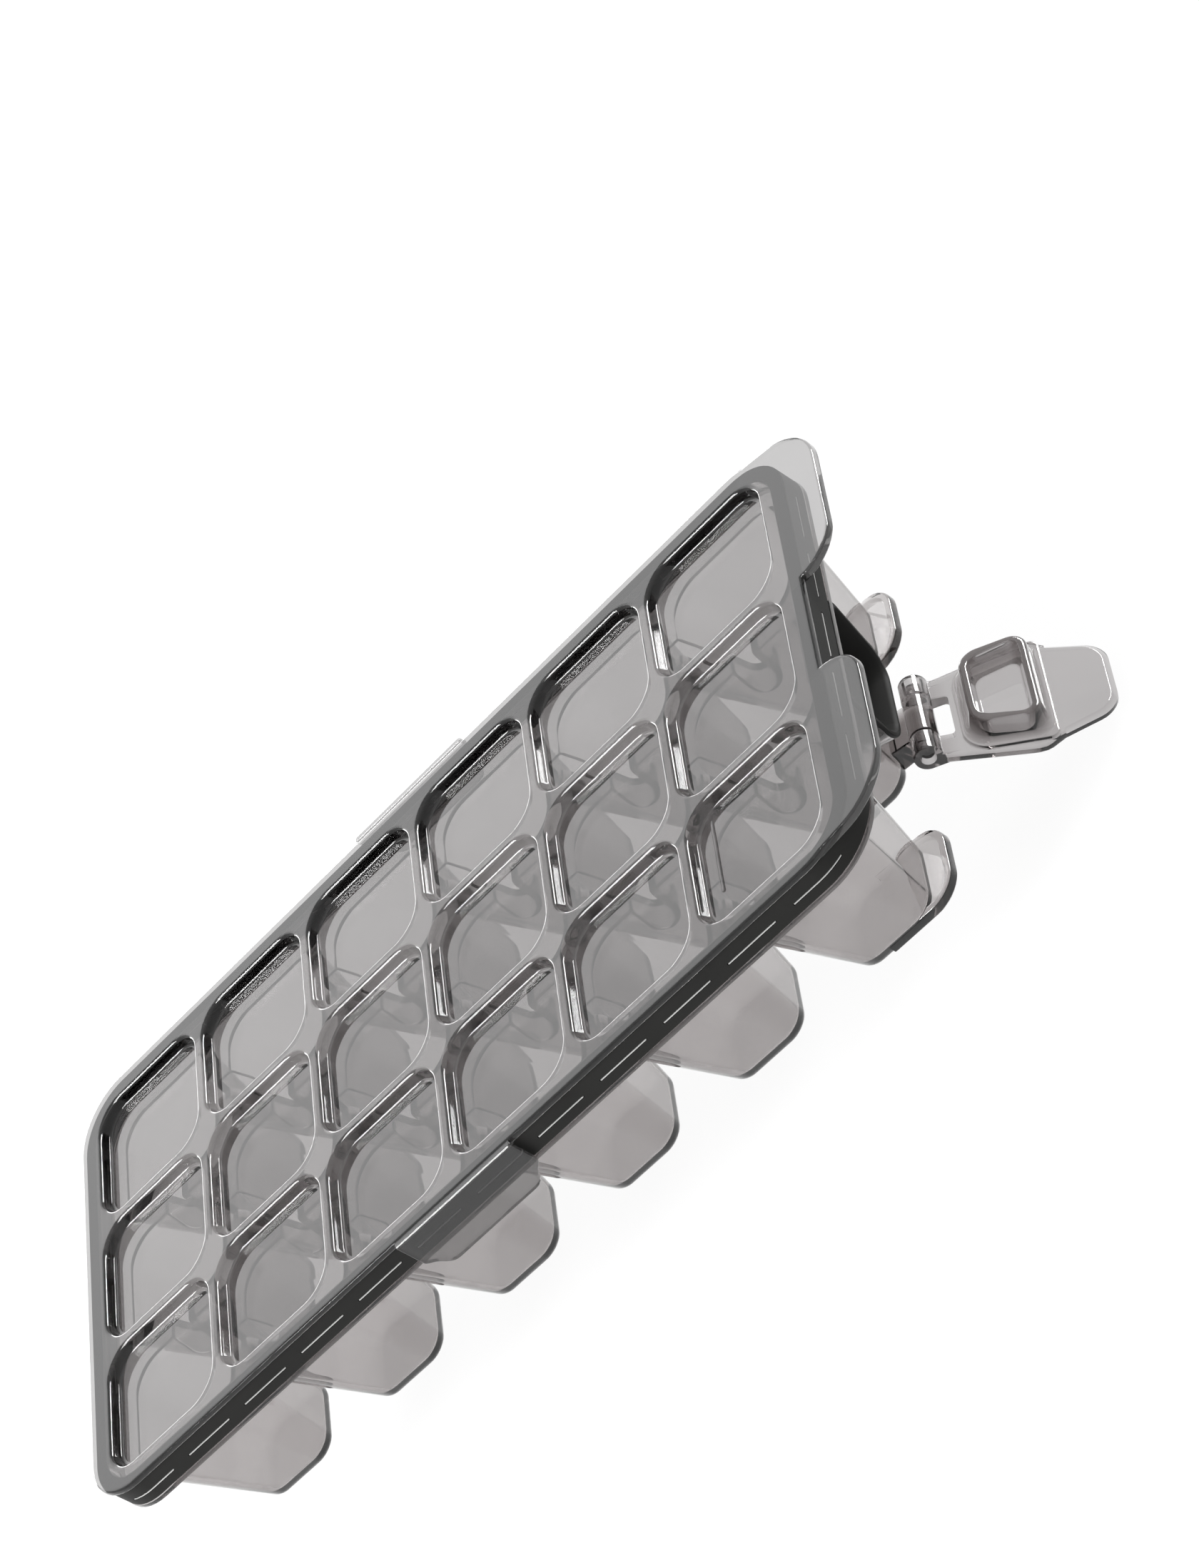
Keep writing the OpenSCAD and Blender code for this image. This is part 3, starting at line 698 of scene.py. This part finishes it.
# %% Flap plate
PLATE_MIDDLE, PLATE_HALF_THICK, PLATE_EDGE = -1.15, 1.05, 0.75
widths = [(3.5, 12.0), (3.7, 12.1), (20.6, 16.1), (21.8, 16.3), (23.4, 16.3), (24.6, 15.9), (27.4, 14.1),
          (27.7, 13.9)]
plate_levels = [(along, half, PLATE_HALF_THICK) for along, half in widths]
flap = rounded_block("flap_moulding", plate_levels, PLATE_EDGE, segments=4)
lay_down = Matrix.Rotation(math.radians(-90), 4, "X")
placed(flap, Matrix.Translation((0, 0, PLATE_MIDDLE * MM)) @ lay_down)
count_faces("flap plate", flap)

# %% [markdown]
# The finger tab is the plate's free end, which narrows to two round corners. The plate could be
# bevelled there, but only the tab's inner side has a chamfered border, so the tab is a block over
# four corners whose last levels step inwards.

# %% Finger tab
FINGER_ROOT, FINGER_ROOT_HALF = 22, 15.6
FINGER_END, FINGER_END_HALF, FINGER_CORNER = 39.7, 9.9, 4.5
finger_tab = corner_block("finger_tab", [(-FINGER_ROOT_HALF, FINGER_ROOT), (FINGER_ROOT_HALF, FINGER_ROOT),
                                         (FINGER_END_HALF, FINGER_END), (-FINGER_END_HALF, FINGER_END)],
                          radii=(0, 0, FINGER_CORNER, FINGER_CORNER),
                          steps=[(-2.17, 0.45), (-2.0, 0.12), (-1.75, 0), (-0.95, 0), (-0.85, 0.1),
                                 (-0.2, 1.1), (-0.13, 1.3)])
welded(flap, finger_tab)
count_faces("flap with finger tab", flap)

# %% [markdown]
# On the flap's inner side a low pad carries the plug that is pushed into the seat. Both are blocks
# over the spout's outline. The plug could be left solid, but the real one is hollow, and the clear
# plastic shows it, so a second block is cut out of it.

# %% Pad and plug
welded(flap, spout_block("pad", (-0.6, 0.3), (-0.1, 0.3), (0.1, 0.45), (0.5, 0.5), (0.65, 0.6), (0.7, 0.85)))
welded(flap, spout_block("plug", (0.2, 0.7), (0.7, 0.95), (0.85, 1.25), (1.9, 2.0), (5.3, 2.72),
                         (5.5, 2.85), (5.7, 3.1), (5.8, 3.5), high_r=4.6))
cut(flap, spout_block("plug_hollow", (-0.3, 5.6), (-0.15, 5.25), (0.2, 5.05), (5.3, 4.5), (5.65, 4.35),
                      (5.8, 4.05), (6.6, 3.6), high_r=2.4, least_r=2.2))
count_faces("flap with plug", flap)

# %% [markdown]
# Two knuckles turn on the tray's pin. They could be one tube with its middle cut out, but each has
# a root that runs into the plate, so one lug is made with its root and mirrored. The plate is cut
# back between the lugs, round the tray's own knuckle, and the whole flap is then swung open.

# %% Flap hinge
LUG_LOW, LUG_HIGH, BORE_RADIUS = 5.8, 11.5, 1.65
NOTCH_LOW, NOTCH_HIGH, NOTCH_CORNER = -1, 6.4, 0.8
PAST_LUGS = 20
lug = eased_rod("lug", LUG_LOW, LUG_HIGH, KNUCKLE_RADIUS)
root = corner_block("root", [(0, -3.1), (6.5, -2.2), (6.5, -0.1), (0, 0.6)], radii=SHARP,
                    steps=[(LUG_LOW, 0.2), (LUG_LOW + 0.2, 0), (LUG_HIGH - 0.2, 0), (LUG_HIGH, 0.2)])
welded(lug, placed(root, ALONG_X))
welded(flap, mirrored(lug, 0), lug)
cut(flap, rod("bore", [(-PAST_LUGS, BORE_RADIUS), (PAST_LUGS, BORE_RADIUS)], sides=28))
cut(flap, corner_block("notch", [(-LUG_LOW, NOTCH_LOW), (LUG_LOW, NOTCH_LOW), (LUG_LOW, NOTCH_HIGH),
                                 (-LUG_LOW, NOTCH_HIGH)], radii=(0, 0, NOTCH_CORNER, NOTCH_CORNER),
                       steps=[(-6, 0), (1, 0)]))
placed(flap, hinge_frame(OPEN_TURN))
count_faces("flap", flap)

# %% [markdown]
# ## Finishes
# A finish is a tree of nodes. Its maths could be linked node by node, which is hard to read, so a
# small class wraps a socket and lets Python's operators add the Math nodes. Every other node comes
# from one function, which sets its settings first and then its sockets.

# %% Wrapped sockets


class Wire:
    """A socket that Python's operators can work on."""

    def __init__(self, tree, socket):
        self.tree = tree
        self.socket = socket

    def math(self, operation, first, second):
        step = make(self.tree, "ShaderNodeMath", {"operation": operation}, {0: first, 1: second})
        return Wire(self.tree, step.outputs[0])

    def __add__(self, other):
        return self.math("ADD", self, other)

    def __sub__(self, other):
        return self.math("SUBTRACT", self, other)

    def __rsub__(self, other):
        return self.math("SUBTRACT", other, self)

    def __mul__(self, other):
        return self.math("MULTIPLY", self, other)

    __radd__ = __add__
    __rmul__ = __mul__


def make(tree, kind, settings, sockets):
    """Adds a node, sets its settings, then sets or links its inputs by name or number."""
    step = tree.nodes.new(kind)
    for name, value in settings.items():
        setattr(step, name, value)
    for name, value in sockets.items():
        if isinstance(value, Wire):
            tree.links.new(value.socket, step.inputs[name])
        else:
            step.inputs[name].default_value = value
    return step


def new_material(name):
    """A material with an empty tree of nodes."""
    material = bpy.data.materials.new(name)
    material.use_nodes = True
    material.node_tree.nodes.clear()
    return material, material.node_tree


# %% [markdown]
# No real surface is quite even: clear plastic has faint clouds from its flow in the mould, and
# silicone has duller patches. An image could hold them, but noise needs no file and has detail at
# any distance. It reads the piece's own coordinates, so it stays in place when the piece moves.

# %% Clouds and shades


def cloud(tree, scale, detail):
    """Noise over the piece's own coordinates, from 0 to 1."""
    place = make(tree, "ShaderNodeTexCoord", {}, {}).outputs["Object"]
    noise = make(tree, "ShaderNodeTexNoise", {}, {
        "Vector": Wire(tree, place), "Scale": scale, "Detail": detail})
    return Wire(tree, noise.outputs["Fac"])


def shaded(tree, share, colour, spread):
    """A colour that goes from a little darker to a little lighter with share.

    Among the numbered sockets of a Mix node, 6 and 7 are its colours and output 2 is their mix.
    """
    dark, light = [(*(c * (1 + side * spread) for c in colour), 1) for side in (-1, 1)]
    mix = make(tree, "ShaderNodeMix", {"data_type": "RGBA"}, {0: share, 6: dark, 7: light})
    return Wire(tree, mix.outputs[2])


# %% [markdown]
# The real mouldings are smoke-grey clear plastic. Colour alone would look like painted glass, so
# part of the tint sits in the surface and part is absorption in the depth, and edges seen
# lengthwise turn dark. Light is bent less than in solid plastic, because a full bend traps it in
# the ribs, and a coat gives back the gloss.

# %% Clear plastic
FLOW_SCALE, FLOW_DETAIL = 60.0, 3.0
TINT_SPREAD = 0.06
CLEAR_ROUGHNESS, CLEAR_SPREAD = 0.001, 0.006
COAT_ROUGHNESS, COAT_BEND = 0.05, 1.5
DEPTH_COLOUR = (0.52, 0.49, 0.485, 1)


def clear_plastic(name, tint, density, bend):
    """A clear finish with a tinted surface, absorption in its depth and a gloss coat."""
    material, tree = new_material(name)
    flow = cloud(tree, FLOW_SCALE, FLOW_DETAIL)
    surface = make(tree, "ShaderNodeBsdfPrincipled", {}, {
        "Base Color": shaded(tree, flow, tint, TINT_SPREAD),
        "Roughness": flow * CLEAR_SPREAD + CLEAR_ROUGHNESS, "IOR": bend, "Transmission Weight": 1.0,
        "Coat Weight": 1.0, "Coat Roughness": COAT_ROUGHNESS, "Coat IOR": COAT_BEND})
    depth = make(tree, "ShaderNodeVolumeAbsorption", {}, {"Color": DEPTH_COLOUR, "Density": density})
    make(tree, "ShaderNodeOutputMaterial", {}, {
        "Surface": Wire(tree, surface.outputs[0]), "Volume": Wire(tree, depth.outputs[0])})
    print(name, "tint", tint, "density", density, "bend", bend)
    return material


smoke_tray = clear_plastic("smoke_tray", tint=(0.88, 0.87, 0.87), density=440.0, bend=1.2)
smoke_lid = clear_plastic("smoke_lid", tint=(0.46, 0.455, 0.455), density=60.0, bend=1.1)
smoke_flap = clear_plastic("smoke_flap", tint=(0.78, 0.775, 0.78), density=400.0, bend=1.25)

# %% [markdown]
# The silicone is dark and dull, with a fine grain. The keeper ribs are clear plastic, but here they
# get a pale matte grey instead. This is a painted highlight that stands in for the light their edges
# catch against the band. They could be given the tray's own finish, which is too dark at that size.
# One function makes both finishes, because they differ only in their numbers.

# %% Silicone and painted rib highlight
PATCH_SCALE, PATCH_DETAIL, PATCH_SPREAD = 90.0, 4.0, 0.3
GRAIN_SCALE, GRAIN_DETAIL, GRAIN_STRENGTH = 2500.0, 2.0, 0.3
DULL_SPREAD = 0.2


def dull(name, colour, roughness, grain_height, specular):
    """A matte finish with a fine grain in its surface."""
    material, tree = new_material(name)
    patch = cloud(tree, PATCH_SCALE, PATCH_DETAIL)
    grain = make(tree, "ShaderNodeBump", {}, {
        "Strength": GRAIN_STRENGTH, "Distance": grain_height,
        "Height": cloud(tree, GRAIN_SCALE, GRAIN_DETAIL)})
    surface = make(tree, "ShaderNodeBsdfPrincipled", {}, {
        "Base Color": shaded(tree, patch, colour, PATCH_SPREAD),
        "Roughness": patch * DULL_SPREAD + roughness, "Specular IOR Level": specular,
        "Normal": Wire(tree, grain.outputs[0])})
    make(tree, "ShaderNodeOutputMaterial", {}, {"Surface": Wire(tree, surface.outputs[0])})
    print(name, "colour", colour, "roughness", roughness)
    return material


charcoal = dull("charcoal", colour=(0.008, 0.008, 0.0075), roughness=0.42, grain_height=0.00005,
                specular=0.12)
# The keeper ribs' pale grey is a painted highlight for the light their clear edges catch.
painted_rib_highlight = dull("painted_rib_highlight", colour=(0.24, 0.24, 0.235), roughness=0.25, grain_height=0.00002, specular=0.5)

# %% [markdown]
# ## Dressing the pieces
# Each piece gets smooth shading with its sharp edges kept, its finish, and the body that carries
# it. Smooth shading alone leaves streaks on a big flat face beside a thin fillet, so the normals
# are then weighted by the faces' areas. The frame's solids that a piece stands for are hidden.

# %% Dress the pieces
SMOOTH_BELOW = math.radians(38)


def finished(obj, body, slot, material, *nodes):
    """Shades a piece, gives it its finish, sets what it rides on, and hides the solids it stands for."""
    only(obj)
    bpy.ops.object.shade_smooth_by_angle(angle=SMOOTH_BELOW)
    even = obj.modifiers.new("even", "WEIGHTED_NORMAL")
    even.keep_sharp = True
    bpy.ops.object.modifier_apply(modifier=even.name)
    obj.data.materials.clear()
    obj.data.materials.append(material)
    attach(obj, body)
    if nodes:
        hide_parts(*nodes)
    print(obj.name, "on", body, "in", material.name, "for", nodes)


finished(lid, "lid_body", "smoke_lid", smoke_lid, "lid")
finished(tray, "tray_body", "smoke_tray", smoke_tray, "tray_near", "tray_middle", "tray_far")
finished(gasket, "tray_body", "silicone", charcoal, "rim_seal")
# The ribs get the painted highlight finish, not the tray's clear plastic.
finished(ribs, "tray_body", "smoke_tray", painted_rib_highlight)
finished(seat, "tray_body", "silicone", charcoal, "spout_seal")
finished(flap, "flap_body", "smoke_flap", smoke_flap, "flap")

# %% [markdown]
# ## Floor, sky and lamps
# The tray is shown on a plain white ground. A brighter lamp would make a floor white, but it would
# bleach the tray as well. Here the floor glows white for the camera and for light that comes
# through the plastic or off it, and a small matte share keeps a faint shadow. It lies just below
# the open flap, which hangs lower than the cups.

# %% Floor
FLOOR_SIZE, FLOOR_GAP = 6, 0.002
GLOW_SHARE = 0.93
MATTE_WHITE = (0.9, 0.9, 0.9, 1)
leave_edit()
bpy.ops.mesh.primitive_plane_add(size=FLOOR_SIZE, location=(0, 0, cad_low.z - FLOOR_GAP))
floor = bpy.context.active_object
floor.name = "floor"
white, tree = new_material("floor_white")
path = make(tree, "ShaderNodeLightPath", {}, {})
seen = Wire(tree, path.outputs["Is Camera Ray"]) + Wire(tree, path.outputs["Is Glossy Ray"])
seen = seen + Wire(tree, path.outputs["Is Transmission Ray"])
share = seen.math("MINIMUM", seen, 1.0) * GLOW_SHARE
matte = make(tree, "ShaderNodeBsdfDiffuse", {}, {"Color": MATTE_WHITE})
glow = make(tree, "ShaderNodeEmission", {}, {"Color": (1, 1, 1, 1), "Strength": 1.0})
both = make(tree, "ShaderNodeMixShader", {}, {
    0: share, 1: Wire(tree, matte.outputs[0]), 2: Wire(tree, glow.outputs[0])})
make(tree, "ShaderNodeOutputMaterial", {}, {"Surface": Wire(tree, both.outputs[0])})
floor.data.materials.append(white)
print("floor at", round((cad_low.z - FLOOR_GAP) / MM, 1), "mm")

# %% [markdown]
# The sky lights the tray from all sides. One even colour would leave the fillets flat, so it is
# brightest overhead and dimmer towards the horizon, as in a room with a white ceiling. The camera
# sees it as plain white.

# %% Sky
DIM_BELOW, BRIGHT_ABOVE = -0.1, 0.9
SKY_DIM, SKY_BRIGHT = 0.5, 1.0
world = bpy.data.worlds.new("studio")
scene.world = world
world.use_nodes = True
tree = world.node_tree
tree.nodes.clear()
path = make(tree, "ShaderNodeLightPath", {}, {})
aim = make(tree, "ShaderNodeTexCoord", {}, {}).outputs["Generated"]
split = make(tree, "ShaderNodeSeparateXYZ", {}, {0: Wire(tree, aim)})
rise = make(tree, "ShaderNodeMapRange", {}, {
    0: Wire(tree, split.outputs["Z"]), 1: DIM_BELOW, 2: BRIGHT_ABOVE, 3: SKY_DIM, 4: SKY_BRIGHT})
camera_ray = Wire(tree, path.outputs["Is Camera Ray"])
strength = Wire(tree, rise.outputs[0]) * (1 - camera_ray) + camera_ray
sky = make(tree, "ShaderNodeBackground", {}, {"Color": (1, 1, 1, 1), "Strength": strength})
make(tree, "ShaderNodeOutputWorld", {}, {"Surface": Wire(tree, sky.outputs[0])})
print("sky from", SKY_DIM, "to", SKY_BRIGHT)

# %% [markdown]
# Four soft boxes draw the highlights. The largest stands behind the tray and is mirrored in every
# level face, and the others draw the thin light lines along the fillets. Small lamps would give
# hard points instead of lines. Light passes through many clear walls on its way, so its paths may
# be long, and the picture's noise is smoothed away.

# %% Lamps
LONGEST_PATH = 40


def softbox(name, place, size, power):
    """A rectangular lamp that faces the tray and isn't itself in the picture."""
    lamp = bpy.data.lights.new(name, "AREA")
    lamp.shape = "RECTANGLE"
    lamp.size, lamp.size_y = size
    lamp.energy = power
    obj = bpy.data.objects.new(name, lamp)
    obj.location = place
    obj.rotation_euler = (-Vector(place)).to_track_quat("-Z", "Y").to_euler()
    obj.visible_camera = False
    obj.visible_transmission = False
    scene.collection.objects.link(obj)
    print(name, size, "m", power, "W")


softbox("mirror_box", place=(-0.78, 1.15, 0.85), size=(1.4, 1.1), power=5.5)
softbox("left_box", place=(-0.62, -0.65, 0.94), size=(0.9, 0.7), power=35)
softbox("right_box", place=(0.85, 0.88, 0.4), size=(0.7, 0.35), power=16)
softbox("low_strip", place=(-0.9, 1.17, 0.2), size=(1.2, 0.25), power=5)
scene.cycles.max_bounces = LONGEST_PATH
scene.cycles.transmission_bounces = LONGEST_PATH
scene.cycles.transparent_max_bounces = LONGEST_PATH
scene.cycles.use_denoising = True
